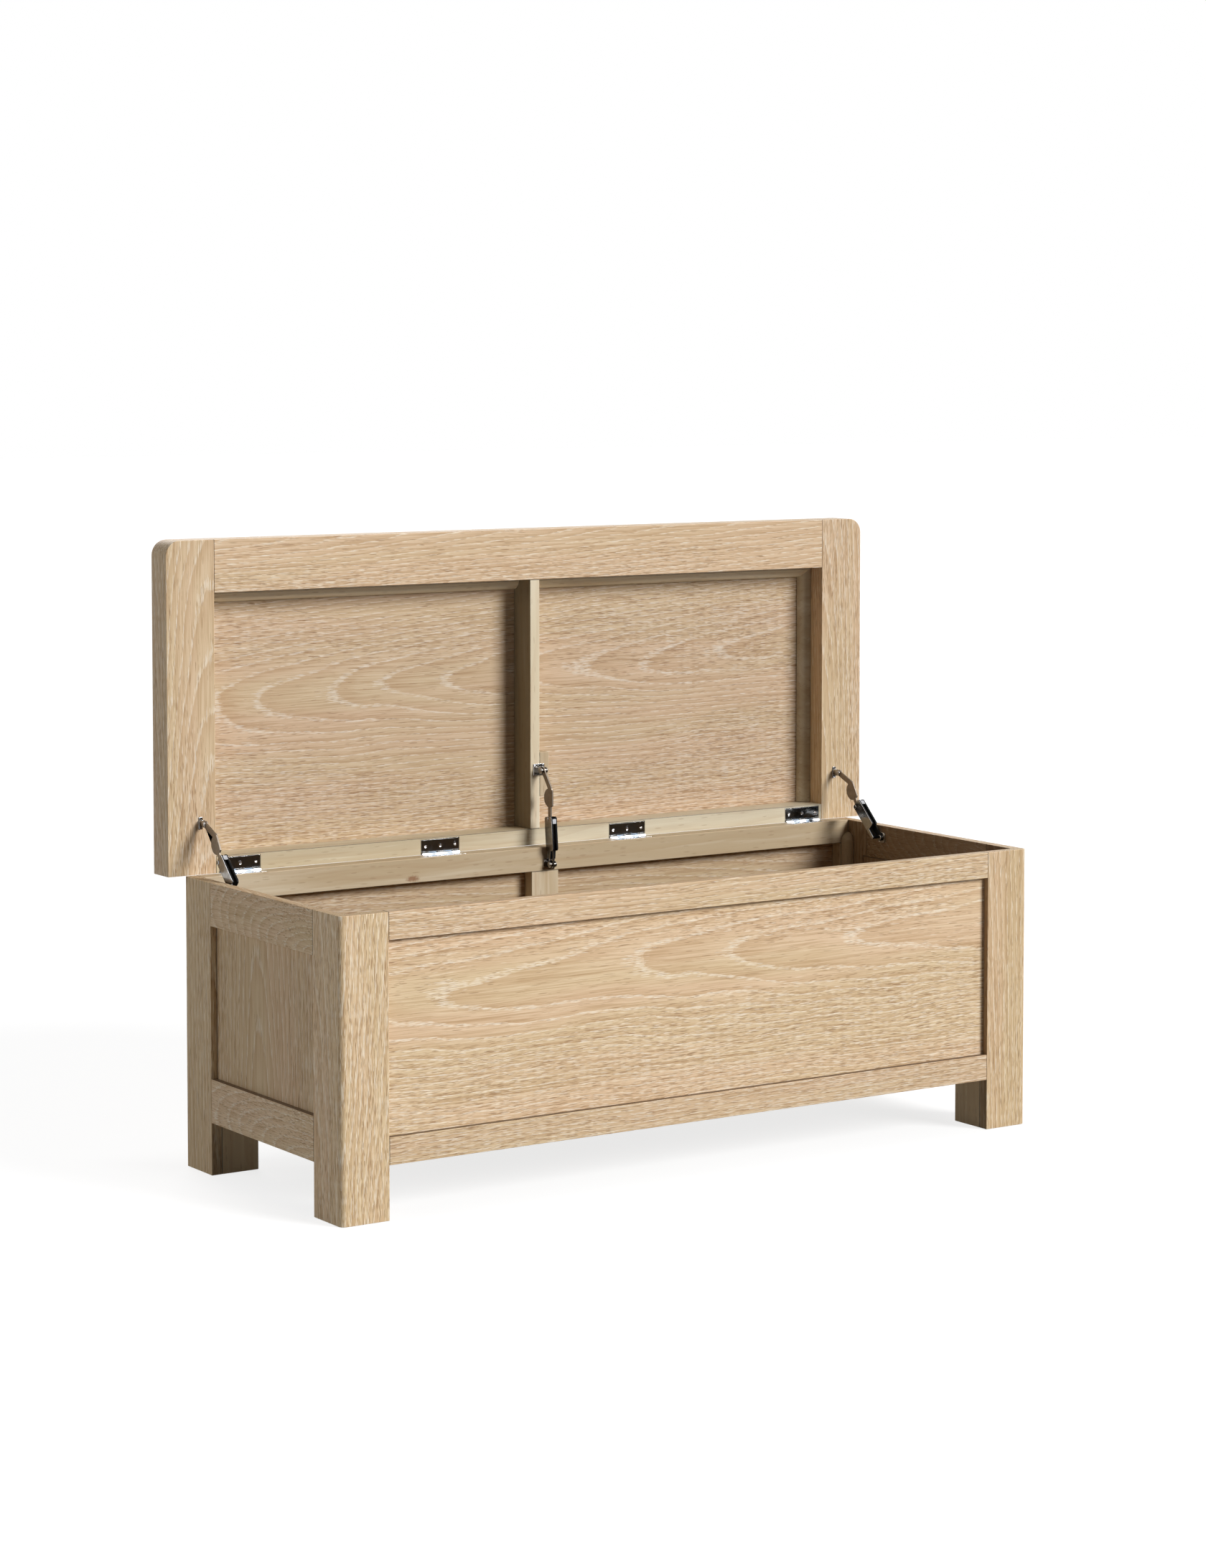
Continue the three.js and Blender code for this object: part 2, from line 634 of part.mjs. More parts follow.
function stay(side, boxGroup, lidGroup, place, pins) {
  const { lidPinUp, boxPin, give, bend, offset, tilt, foot, tabX, collar, flange } = pins;
  const lidPin = { y: hingeY + pinStandOff - lidPinBehindLidFace, z: hingeZ + lidPinUp };
  const angles = elbowAngles(lidPin, boxPin, bend, give);
  const onLid = new THREE.Group();
  onLid.position.set(place, lidPin.y - hingeY, lidPin.z - hingeZ);
  lidGroup.add(onLid);
  const arm = new THREE.Group();
  arm.rotation.x = angles.arm;
  onLid.add(arm);
  const onBox = new THREE.Group();
  onBox.position.set(place, boxPin.y, boxPin.z);
  boxGroup.add(onBox);
  const casing = new THREE.Group();
  casing.rotation.x = angles.casing;
  onBox.add(casing);
  const lidBracket = earBracket(lidPinBehindLidFace, collar, flange, stayPinRadius, armX);
  const railBracket = () => earBracket(backInner - boxPin.y, collar, flange, studRadius, tabX);
  const boxBracket = side === "centre" ? railBracket() : wallBracket();
  piece(onLid, "stay_lid_bracket_" + side, lidBracket, darkChrome);
  piece(arm, "stay_arm_" + side, stayArm(angles.armLength), darkChrome);
  piece(casing, "stay_casing_" + side, stayCasing(offset, tilt, foot, tabX), darkChrome);
  piece(onBox, "stay_box_bracket_" + side, boxBracket, darkChrome);
}

const lidLeft = new THREE.Group();
const lidRight = new THREE.Group();
lidRight.scale.x = -1;
lid.add(lidLeft, lidRight);
const sideStay = -innerHalf + stayFromWall + stayHalf;
const sidePins = {
  lidPinUp: sideLidPinUp,
  boxPin: { y: backInner - sideBoxPinFromRail, z: boxHeight - sideBoxPinBelowRim },
  give: sideGive,
  bend: -1,
  offset: sideCasingOffset,
  tilt: sideCasingTilt,
  foot: sideFoot,
  tabX: sideTabX,
  collar: fitGap,
  flange: fitGap,
};
const centreFromRail = casingDepth / 2 + centreCasingFromRail;
const centrePins = {
  lidPinUp: centreLidPinUp,
  boxPin: { y: backInner - centreFromRail, z: boxHeight - centreBoxPinBelowRim },
  give: centreGive,
  bend: 1,
  offset: centreCasingOffset,
  tilt: 0,
  foot: centreFoot,
  tabX: centreTabX,
  collar: centreCollar,
  flange: centreFlange,
};
stay("left", leftSide, lidLeft, sideStay, sidePins);
stay("right", rightSide, lidRight, sideStay, sidePins);
stay("centre", chest, lid, centreStayPlace, centrePins);

// The finished group stands on the ground with its origin under the middle of its whole depth.
const blanketChest = new THREE.Group();
chest.add(lid);
chest.position.y = -totalDepth / 2;
blanketChest.add(chest);

export default blanketChest;
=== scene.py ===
"""The looks of the blanket chest: limed oak, pale inner timber, bright hinges and dark lid stays.

Lengths are metres in the frame of the CAD model, whose front faces -Y.
"""
import json
from math import atan2, cos, pi, radians, sin

import bmesh
import bpy
from mathutils import Matrix, Vector
from mathutils.bvhtree import BVHTree


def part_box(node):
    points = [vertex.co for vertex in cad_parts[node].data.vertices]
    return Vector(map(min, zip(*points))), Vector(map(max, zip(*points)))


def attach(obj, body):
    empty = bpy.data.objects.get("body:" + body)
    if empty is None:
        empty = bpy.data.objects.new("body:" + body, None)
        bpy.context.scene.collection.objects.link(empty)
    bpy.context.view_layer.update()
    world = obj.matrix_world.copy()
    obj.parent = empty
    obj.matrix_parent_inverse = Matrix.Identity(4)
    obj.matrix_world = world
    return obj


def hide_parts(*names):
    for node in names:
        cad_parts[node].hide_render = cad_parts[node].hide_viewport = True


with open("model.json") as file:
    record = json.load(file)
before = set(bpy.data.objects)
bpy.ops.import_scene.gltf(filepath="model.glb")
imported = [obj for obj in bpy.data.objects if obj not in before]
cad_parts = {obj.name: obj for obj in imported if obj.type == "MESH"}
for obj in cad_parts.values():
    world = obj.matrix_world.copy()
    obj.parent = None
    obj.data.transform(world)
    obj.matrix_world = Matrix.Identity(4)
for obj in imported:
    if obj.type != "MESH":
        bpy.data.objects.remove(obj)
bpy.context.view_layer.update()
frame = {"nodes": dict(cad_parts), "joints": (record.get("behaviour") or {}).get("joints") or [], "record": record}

WHITE = (1, 1, 1, 1)
X, Y, Z = Vector((1, 0, 0)), Vector((0, 1, 0)), Vector((0, 0, 1))

# Camera, as the photograph was taken: its turn to the right and its dip in degrees, its lens in mm
CAMERA_PLACE = (-2.8604, -4.2889, 1.1343)
CAMERA_TURN = 33.630
CAMERA_DIP = 3.773
CAMERA_LENS = 83.594
CAMERA_SHIFT = -0.125
SENSOR = 36

# Meshes: points within WELD become one, so do faces with less than FLAT between them, and edges with
# more than SHARP between their faces are eased, by a round profile
WELD = 1e-5
FLAT = radians(0.5)
SHARP = radians(50)
ROUND = 0.5

# Edges of the boards: their width, the steps that round them, and their tone against the board's,
# where another piece lies within JOINT_REACH and where none does; the lighter tone of free edges is
# partly wear and partly a painted highlight
ARRIS = 0.0008
ARRIS_STEPS = 2
JOINT_REACH = 0.0009
JOINT_TONE = 0.42
EDGE_WEAR_AND_HIGHLIGHT = 1.15

# The seam between the lid and the back of the box: its reach in front of the hinge line and above and
# below it, and how far the lid's lower edge comes down there, so that no light shows through
HINGE_LINE = sum(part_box("hinge_1_pin"), Vector()) / 2
SEAM_AHEAD = 0.002
SEAM_HALF_HEIGHT = 0.001
LID_DROP = 0.0008

# Painted shade inside the box: the oak there is darkened where little light reaches, on the boards
# whose names start like this: the faces whose normals rise by less than UPRIGHT, no further out than
# the inner faces of the panels and a slack
SHADED_INSIDE_BOARDS = ("front", "leg", "side", "stile")
INSIDE_PAINTED_SHADE = (0.42, 0.39, 0.36)
UPRIGHT = 0.5
INNER_SLACK = 0.0005
INNER_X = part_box("side_panel_right")[0].x + INNER_SLACK
INNER_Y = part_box("front_panel")[1].y - INNER_SLACK

# Faces with painted shade and painted light of their own: the way that they look, how squarely at
# the least, and the tone
SQUARELY = 0.9
ASLANT = 0.3
# Painted shade on the top faces of the bottom rails, below the recessed panels
LEDGE_PAINTED_SHADE = (0.28, 0.25, 0.22)
# Painted shade on the lips of the front legs beside the front panel's recess
LIP_PAINTED_SHADE = (0.62, 0.56, 0.50)
# Painted shade on the left side of the lid's muntin
MUNTIN_SIDE_PAINTED_SHADE = (0.39, 0.37, 0.33)
# Painted light on the faces of the lid's beads that look down, under the rails
BEAD_UNDER_PAINTED_LIGHT = (1.40, 1.42, 1.44)
PAINTED_FACE_SHADE_AND_LIGHT = {
    "leg_front_left": (X, SQUARELY, LIP_PAINTED_SHADE),
    "leg_front_right": (-X, SQUARELY, LIP_PAINTED_SHADE),
    "lid_muntin": (-X, SQUARELY, MUNTIN_SIDE_PAINTED_SHADE),
    "front_bottom_rail": (Z, SQUARELY, LEDGE_PAINTED_SHADE),
    "side_bottom_rail_left": (Z, SQUARELY, LEDGE_PAINTED_SHADE),
    "side_bottom_rail_right": (Z, SQUARELY, LEDGE_PAINTED_SHADE),
    "lid_bead_left": (-Z, ASLANT, BEAD_UNDER_PAINTED_LIGHT),
    "lid_bead_right": (-Z, ASLANT, BEAD_UNDER_PAINTED_LIGHT),
}

# How far the grain shifts lengthways from one board to the next, and how much closer than on the other
# boards it is packed along and across, by the start of a board's name
SHIFT_STEP = 0.731
FIGURE = {
    "side_top": (2.4, 0.85),
    "side_bottom": (1.7, 0.85),
    "side_panel": (0.8, 0.8),
    "stile_rear": (0.8, 0.8),
}

# Boards of limed oak: the ways along and across the grain, the place and the slope of the pith, both
# across and through the board from its middle, and the tone
OAK_BOARDS = {
    "front_panel": (X, Z, (0.062, 0.150), (0.010, -0.026), 1.00),
    # The back panel is darkened on both faces as painted shade for its inner face, deep inside the box
    "back_panel": (X, Z, (0.02, 0.15), (0.01, 0.05), 0.75),
    "front_top_rail": (X, Z, (0.10, 0.05), (0.02, 0.01), 0.96),
    "front_bottom_rail": (X, Z, (-0.10, 0.06), (0.03, 0.03), 0.92),
    "lid_front_rail": (X, Z, (0.06, 0.07), (0.03, 0.05), 0.93),
    "lid_panel": (X, Z, (0.05, 0.10), (0.05, -0.05), (0.83, 0.83, 0.86)),
    "leg_front_left": (Z, X, (0.09, 0.06), (0.02, 0.06), (0.98, 0.98, 0.96)),
    "leg_front_right": (Z, X, (-0.09, 0.06), (0.02, 0.05), (0.91, 0.90, 0.86)),
    "stile_rear_left": (Z, Y, (0.08, 0.06), (0.02, 0.05), (0.88, 0.87, 0.83)),
    "stile_rear_right": (Z, Y, (0.09, 0.06), (0.02, 0.05), (0.88, 0.87, 0.83)),
    "lid_stile_left": (Z, X, (0.04, 0.06), (0.02, 0.07), 0.90),
    "lid_stile_right": (Z, X, (-0.05, 0.05), (0.02, 0.06), 0.91),
    "side_panel_left": (Z, Y, (0.03, 0.09), (0.03, 0.06), (0.83, 0.81, 0.77)),
    "side_panel_right": (Z, Y, (0.04, 0.09), (0.03, 0.06), (0.83, 0.81, 0.77)),
    "side_top_rail_left": (Y, Z, (-0.01, 0.05), (0.10, 0.30), (0.88, 0.88, 0.85)),
    "side_top_rail_right": (Y, Z, (0.03, 0.04), (0.10, 0.35), (0.88, 0.88, 0.85)),
    "side_bottom_rail_left": (Y, Z, (-0.02, 0.05), (0.10, 0.20), 0.94),
    "side_bottom_rail_right": (Y, Z, (-0.03, 0.05), (0.10, 0.20), 0.94),
}

# Boards of pale timber: the ways along and across the grain and the tone, and the pith of them all
# Painted light: the foot blocks are lighter, standing in for light thrown up from the floor
FOOT_PAINTED_LIGHT = (1.35, 1.32, 1.28)
MOULDING_TONE = 0.96
MUNTIN_TONE = (1.36, 1.50, 1.70)
LID_BACK_TONE = (1.04, 1.12, 1.19)
# Painted light: the beads are lighter, standing in for light thrown up under the lid's rails
BEAD_PAINTED_LIGHT = (1.10, 1.18, 1.28)
PALE_BOARDS = {
    "floor_panel": (X, Y, 1.0),
    "back_top_rail": (X, Z, 0.94),
    "back_bottom_rail": (X, Z, 1.0),
    "lid_back_rail": (X, Z, LID_BACK_TONE),
    "back_stile_left": (Z, X, 1.0),
    "back_stile_right": (Z, X, 1.0),
    "back_muntin": (Z, X, 1.0),
    "lid_muntin": (Z, X, MUNTIN_TONE),
    "lid_packer": (Z, X, 1.0),
    "foot_block_front_left": (Z, X, FOOT_PAINTED_LIGHT),
    "foot_block_front_right": (Z, X, FOOT_PAINTED_LIGHT),
    "foot_block_back_left": (Z, X, FOOT_PAINTED_LIGHT),
    "foot_block_back_right": (Z, X, FOOT_PAINTED_LIGHT),
    "corner_moulding_left": (Z, X, MOULDING_TONE),
    "corner_moulding_right": (Z, X, MOULDING_TONE),
    "lid_bead_left": (X, Z, BEAD_PAINTED_LIGHT),
    "lid_bead_right": (X, Z, BEAD_PAINTED_LIGHT),
}
PALE_PITH = (0.04, 0.05)
PALE_SLOPE = (0.01, 0.02)

# Metal parts: the width and the steps of their edges, and the least sideways part of a normal that
# makes a face one that looks sideways
METAL_EDGE_STEPS = 1
METAL_EDGE = 0.0003
HINGE_EDGE = 0.00015
CASING_EDGE = 0.00035
SIDEWAYS = 0.9

# Hinges: their number, the screws' places along a leaf and away from its pin, and how far the face of
# a leaf lies behind the middle of the pin
HINGES = 4
LEAF_SCREWS = (-0.025, 0, 0.025)
LEAF_SCREW_FROM_PIN = 0.012075
LEAF_FACE_BEHIND_PIN = 0.00025

# Screws of the stays' brackets: their places on the plate from its middle, and the plate's thickness.
# The side stays' lower brackets stand on a side wall of the box, and the others on a board behind them
BACK_PLATE = 0.0015
SIDE_STAY_SCREWS = ((0, 0.0062), (0, -0.0062))
CENTRE_STAY_SCREWS = ((-0.0071, 0.0045), (0.0071, 0.0045))
WALL_PLATE = 0.002
WALL_SCREWS = ((-0.0052, 0.0052), (0.0052, -0.0052))

# Screw heads: the outline from the middle of the top round to the middle of the underside, as shares
# of the radius and heights over the rim, the arms of the cross as shares of the head's width, and how
# far the middle of the cross lies over the rim, as a share of its depth
LEAF_SCREW_RADIUS = 0.0029
BRACKET_SCREW_RADIUS = 0.0022
SCREW_DOME = 0.0002
SCREW_DEPTH = 0.0012
SCREW_OUTLINE = (
    (0, SCREW_DOME),
    (0.5, SCREW_DOME * 0.85),
    (0.85, SCREW_DOME * 0.35),
    (1, 0),
    (0.95, -SCREW_DEPTH * 0.15),
    (0.55, -SCREW_DEPTH),
    (0, -SCREW_DEPTH),
)
SCREW_STEPS = 24
SCREW_TURN = 0.7
CROSS_LENGTH = 0.62
CROSS_WIDTH = 0.16
CROSS_RISE = 0.1

# Casings of the stays: how far the middle line lies in front of the pin, its turn from the line that
# joins the pin to the elbow, half the depth, and the light cap's place along the casing and on its front
CASING_OFFSET = {"left": 0.0005, "right": 0.0005, "centre": 0.002}
CASING_TILT = {"left": radians(4.5), "right": radians(4.5), "centre": 0}
CASING_HALF_DEPTH = 0.00925
CAP_HALF_WIDTH = 0.0033
CAP_ALONG = (0.0595, 0.0665)
CAP_ON_FRONT = (-0.0008, 0.00025)
CAP_EDGE_STEPS = 2


class Nodes:
    """The node tree of a material or a world, with a method for each kind of node that it needs."""

    def __init__(self, owner):
        self.owner = owner
        owner.use_nodes = True
        self.tree = owner.node_tree
        self.tree.nodes.clear()

    def add(self, kind, **settings):
        node = self.tree.nodes.new("ShaderNode" + kind)
        for key, value in settings.items():
            setattr(node, key, value)
        return node

    def put(self, target, value):
        """Links a node's output to a socket, or sets the socket to a plain value."""
        if isinstance(value, bpy.types.NodeSocket):
            self.tree.links.new(value, target)
        else:
            target.default_value = value

    def finish(self, shader, kind="Material"):
        """Makes a shader the output of the tree, and gives back the material or world."""
        self.put(self.add("Output" + kind).inputs["Surface"], shader.outputs[0])
        return self.owner

    def attribute(self, name, output="Vector"):
        return self.add("Attribute", attribute_name=name).outputs[output]

    def place(self):
        """A point's place in its mesh."""
        return self.add("TexCoord").outputs["Object"]

    def math(self, operation, first, second=0.0, third=0.0):
        node = self.add("Math", operation=operation)
        for target, value in zip(node.inputs, (first, second, third)):
            self.put(target, value)
        return node.outputs[0]

    def vector(self, operation, first, second=(0, 0, 0)):
        node = self.add("VectorMath", operation=operation)
        self.put(node.inputs[0], first)
        self.put(node.inputs["Scale" if operation == "SCALE" else 1], second)
        return node.outputs["Value" if operation in ("LENGTH", "DOT_PRODUCT") else "Vector"]

    def joined(self, x, y, z):
        node = self.add("CombineXYZ")
        for target, value in zip(node.inputs, (x, y, z)):
            self.put(target, value)
        return node.outputs[0]

    def noise(self, place, stretch, detail=2.0, roughness=0.5):
        """Noise whose grains measure one over the stretch along each axis."""
        node = self.add("TexNoise")
        self.put(node.inputs["Vector"], self.vector("MULTIPLY", place, stretch))
        node.inputs["Scale"].default_value = 1.0
        node.inputs["Detail"].default_value = detail
        node.inputs["Roughness"].default_value = roughness
        return node.outputs[0]

    def cells(self, place, stretch):
        """Cells that measure one over the stretch: the way to a cell's middle, two chances, the middle."""
        node = self.add("TexVoronoi")
        self.put(node.inputs["Vector"], self.vector("MULTIPLY", place, stretch))
        node.inputs["Scale"].default_value = 1.0
        chances = self.add("SeparateColor")
        self.put(chances.inputs[0], node.outputs["Color"])
        middle = self.vector("DIVIDE", node.outputs["Position"], stretch)
        return node.outputs["Distance"], chances.outputs[0], chances.outputs[1], middle

    def span(self, value, low, high, to_low=0.0, to_high=1.0):
        """Goes smoothly from to_low to to_high as a value goes from low to high."""
        node = self.add("MapRange", interpolation_type="SMOOTHSTEP")
        for name, given in (
            ("Value", value),
            ("From Min", low),
            ("From Max", high),
            ("To Min", to_low),
            ("To Max", to_high),
        ):
            self.put(node.inputs[name], given)
        return node.outputs[0]

    def mix(self, share, first, second, blend="MIX"):
        node = self.add("Mix", data_type="RGBA", blend_type=blend)
        for index, value in ((0, share), (6, first), (7, second)):
            self.put(node.inputs[index], value)
        return node.outputs[2]

    def bump(self, height, distance, strength):
        node = self.add("Bump")
        node.inputs["Distance"].default_value = distance
        node.inputs["Strength"].default_value = strength
        self.put(node.inputs["Height"], height)
        return node.outputs[0]

    def surface(self, colour, roughness, normal, **uniform):
        shader = self.add("BsdfPrincipled")
        for name, value in (("Base Color", colour), ("Roughness", roughness), ("Normal", normal)):
            self.put(shader.inputs[name], value)
        for key, value in uniform.items():
            shader.inputs[key.replace("_", " ")].default_value = value
        return self.finish(shader)


def colour(red, green, blue):
    """An sRGB colour, as an eye-dropper gives it, in the linear form that a shader takes."""
    shares = [part / 255 for part in (red, green, blue)]
    linear = [part / 12.92 if part <= 0.04045 else ((part + 0.055) / 1.055) ** 2.4 for part in shares]
    return (*linear, 1.0)


# Timber: the stretch of the noises by which fibres sway slowly and quickly, and growth rings wander
SLOW_STRETCH = (4, 10, 10)
QUICK_STRETCH = (26, 50, 50)
WANDER_STRETCH = (2.2, 8, 8)


def fibres(tree, slow_sway, quick_sway):
    """A point's place along and across its board, with the fibres swaying slowly and fluttering."""
    place = tree.attribute("timber")
    slow = tree.math("MULTIPLY", tree.noise(place, SLOW_STRETCH, detail=1), slow_sway)
    quick = tree.math("MULTIPLY", tree.noise(place, QUICK_STRETCH, detail=1), quick_sway)
    off = tree.math("ADD", slow, quick)
    return tree.vector("ADD", place, tree.joined(0, off, off))


def from_pith(tree, place):
    """The way to a place from the pith of its board, across the grain."""
    run = tree.vector("DOT_PRODUCT", place, X)
    pith = tree.vector("ADD", tree.attribute("heart"), tree.vector("SCALE", tree.attribute("slope"), run))
    return tree.vector("MULTIPLY", tree.vector("SUBTRACT", place, pith), Y + Z)


def ring_phase(tree, place, wander, spacing):
    """Where a point lies in its growth ring, from 0 at the spring side to 1 at the end of summer."""
    drift = tree.math("MULTIPLY", tree.noise(place, WANDER_STRETCH), wander)
    radius = tree.math("ADD", tree.vector("LENGTH", from_pith(tree, place)), drift)
    return tree.math("FRACT", tree.math("DIVIDE", radius, spacing))


def patterns_of(tree, place, wander, spacing, noises):
    """The growth rings and the noises of a timber, by name."""
    patterns = {"ring": ring_phase(tree, place, wander, spacing)}
    for name, (along, across, detail, roughness) in noises.items():
        patterns[name] = tree.noise(place, (along, across, across), detail, roughness)
    return patterns


def tinted(tree, base, tints, patterns):
    """A base colour with tints over it, each as strong as its pattern makes it."""
    body = colour(*base)
    for name, start, full, strength, tint in tints:
        body = tree.mix(tree.span(patterns[name], start, full, 0, strength), body, colour(*tint))
    return body


# Limed oak. Its sway is that of the slow and of the quick noise. A noise has a stretch along the grain
# and one across it, a detail and a roughness. A tint has a pattern, where that sets in and where it is
# full, a strength and a colour. The bump has a height and a strength
OAK_SWAY = (0.010, 0.0012)
OAK_WANDER = 0.011
OAK_RING = 0.0060
OAK_NOISES = {
    "cloud": (1.3, 16, 2, 0.5),
    "streak": (3.2, 260, 4, 0.62),
    "fibre": (11, 850, 2, 0.5),
}
OAK_BASE = (228, 198, 164)
OAK_TINTS = (
    ("cloud", 0.38, 0.62, 1.0, (223, 198, 160)),
    ("ring", 0.35, 1.0, 0.45, (198, 161, 120)),
    ("streak", 0.50, 0.70, 0.60, (184, 148, 107)),
    ("streak", 0.46, 0.26, 0.45, (238, 216, 184)),
    ("fibre", 0.48, 0.70, 0.52, (184, 149, 108)),
    ("fibre", 0.45, 0.30, 0.35, (240, 219, 188)),
)
OAK_ROUGHNESS = 0.45
OAK_FIBRE_ROUGHNESS = 0.2
OAK_FIBRE_DEPTH = 0.6
OAK_BUMP = (0.00015, 0.6)
OAK_SHINE = 0.25

# Pores of the oak, in two sizes: the stretch of their cells, the shift of the pattern and the strength.
# Then where a pore sets in and is full on the way to the middle of its cell, how soon it fades as its
# chance runs out, and where in a growth ring early wood sets in and is full, counted backwards
PORE_SIZES = (
    ((58, 1050, 1050), (3, 5, 7), 1.0),
    ((95, 1450, 1450), (11, 13, 17), 0.85),
)
PORE_OUTLINE = (0.64, 0.32)
PORE_FADE = 0.04
EARLY_WOOD = (0.24, 0.05)

# Where pores crowd: the stretch of the patches, the gain in each metre from the pith, and where
# crowding sets in and is full
CROWD_PATCHES = (1.1, 7, 7)
CROWD_ASIDE = 1.6
CROWD_SPAN = (0.48, 0.72)

# Each kind of pore: its chance in early wood, where pores crowd and anywhere, and its strength
OPEN_PORE = (0.22, 0.26, 0.04, 0.66)
OPEN_PORE_COLOUR = (148, 111, 74)
LIMED_PORE = (0.78, 0.13, 0.01, 0.72)
LIMED_PORE_COLOUR = (250, 237, 216)


def crowding(tree, place):
    """How much pores crowd: more towards the sides of a board, away from its pith, and in patches."""
    aside = tree.vector("LENGTH", tree.vector("MULTIPLY", from_pith(tree, place), Y))
    patches = tree.noise(place, CROWD_PATCHES, detail=1)
    return tree.span(tree.math("MULTIPLY_ADD", aside, CROWD_ASIDE, patches), *CROWD_SPAN)


def pores(tree, cell_chance, early, crowd, shape, kind):
    """How strongly one kind of pore shows: it fills the cells whose chance is under its own."""
    in_early, in_crowd, anywhere, strength = kind
    limit = tree.math("MULTIPLY_ADD", crowd, in_crowd, anywhere)
    limit = tree.math("MULTIPLY_ADD", early, in_early, limit)
    there = tree.span(tree.math("SUBTRACT", limit, cell_chance), 0, PORE_FADE)
    return tree.math("MULTIPLY", there, tree.math("MULTIPLY", shape, strength))


def limed_oak():
    """Oak with growth rings round each board's own pith, and rows of open pores, many filled with lime."""
    tree = Nodes(bpy.data.materials.new("limed_oak"))
    place = fibres(tree, *OAK_SWAY)
    patterns = patterns_of(tree, place, OAK_WANDER, OAK_RING, OAK_NOISES)
    body = tinted(tree, OAK_BASE, OAK_TINTS, patterns)
    crowd = crowding(tree, place)
    open_pores = 0.0
    for stretch, shift, strength in PORE_SIZES:
        away, limed_chance, open_chance, middle = tree.cells(tree.vector("ADD", place, shift), stretch)
        phase = ring_phase(tree, tree.vector("SUBTRACT", middle, shift), OAK_WANDER, OAK_RING)
        early = tree.span(phase, *EARLY_WOOD)
        shape = tree.span(away, *PORE_OUTLINE, 0, strength)
        brown = pores(tree, open_chance, early, crowd, shape, OPEN_PORE)
        white = pores(tree, limed_chance, early, crowd, shape, LIMED_PORE)
        body = tree.mix(brown, body, colour(*OPEN_PORE_COLOUR))
        body = tree.mix(white, body, colour(*LIMED_PORE_COLOUR))
        open_pores = tree.math("MAXIMUM", open_pores, brown)
    # The tone carries each board's tone with its painted shade and painted light
    body = tree.mix(1.0, body, tree.attribute("tone", "Color"), "MULTIPLY")
    depth = tree.math("SUBTRACT", tree.math("MULTIPLY", patterns["fibre"], OAK_FIBRE_DEPTH), open_pores)
    rough = tree.math("MULTIPLY_ADD", patterns["fibre"], OAK_FIBRE_ROUGHNESS, OAK_ROUGHNESS)
    return tree.surface(body, rough, tree.bump(depth, *OAK_BUMP), Specular_IOR_Level=OAK_SHINE)


# Pale timber, with the same kinds of value as the oak
PALE_SWAY = (0.010, 0.0008)
PALE_WANDER = 0.05
PALE_RING = 0.013
PALE_NOISES = {
    "cloud": (2.5, 18, 2, 0.5),
    "streak": (5, 110, 3, 0.5),
    "fibre": (24, 700, 2, 0.5),
}
PALE_BASE = (208, 191, 163)
PALE_TINTS = (
    ("cloud", 0.36, 0.64, 1.0, (193, 172, 139)),
    ("ring", 0.5, 1.0, 0.22, (178, 148, 112)),
    ("streak", 0.52, 0.76, 0.50, (176, 146, 112)),
    ("streak", 0.44, 0.28, 0.40, (220, 206, 180)),
    ("fibre", 0.45, 0.8, 0.20, (180, 156, 122)),
)
PALE_ROUGHNESS = 0.42
PALE_FIBRE_ROUGHNESS = 0.15
PALE_BUMP = (0.00005, 0.4)
PALE_SHINE = 0.3

# Short flecks of the pale timber, with the same kinds of value as the pores
FLECK_STRETCH = (70, 480, 480)
FLECK_CHANCE = (0.10, 0.05)
FLECK_OUTLINE = (0.55, 0.30)
FLECK_STRENGTH = 0.35
FLECK_COLOUR = (150, 120, 88)

# A small knot in the front of the back top rail, to the left of the second hinge: its place along the
# rail and over its lower edge, and the stretch of its form and of its ragged outline
KNOT_X = -0.2249
KNOT_UP = 0.0063
KNOT_STRETCH = (75, 60, 190)
KNOT_RAGS = (300, 300, 300)
KNOT_OUTLINE = (1.6, 0.8)
KNOT_STRENGTH = 0.8
KNOT_COLOUR = (140, 92, 58)


def flecked(tree, place, body):
    """A timber's colour with flecks in a few of its cells."""
    away, chance, _, _ = tree.cells(place, FLECK_STRETCH)
    shape = tree.span(away, *FLECK_OUTLINE, 0, FLECK_STRENGTH)
    fleck = tree.math("MULTIPLY", tree.span(chance, *FLECK_CHANCE), shape)
    return tree.mix(fleck, body, colour(*FLECK_COLOUR))


def knotted(tree, body):
    """A timber's colour with the knot in it."""
    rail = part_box("back_top_rail")[0]
    off = tree.vector("SUBTRACT", tree.place(), (KNOT_X, rail.y, rail.z + KNOT_UP))
    away = tree.vector("LENGTH", tree.vector("MULTIPLY", off, KNOT_STRETCH))
    ragged = tree.math("ADD", away, tree.noise(off, KNOT_RAGS))
    return tree.mix(tree.span(ragged, *KNOT_OUTLINE, 0, KNOT_STRENGTH), body, colour(*KNOT_COLOUR))


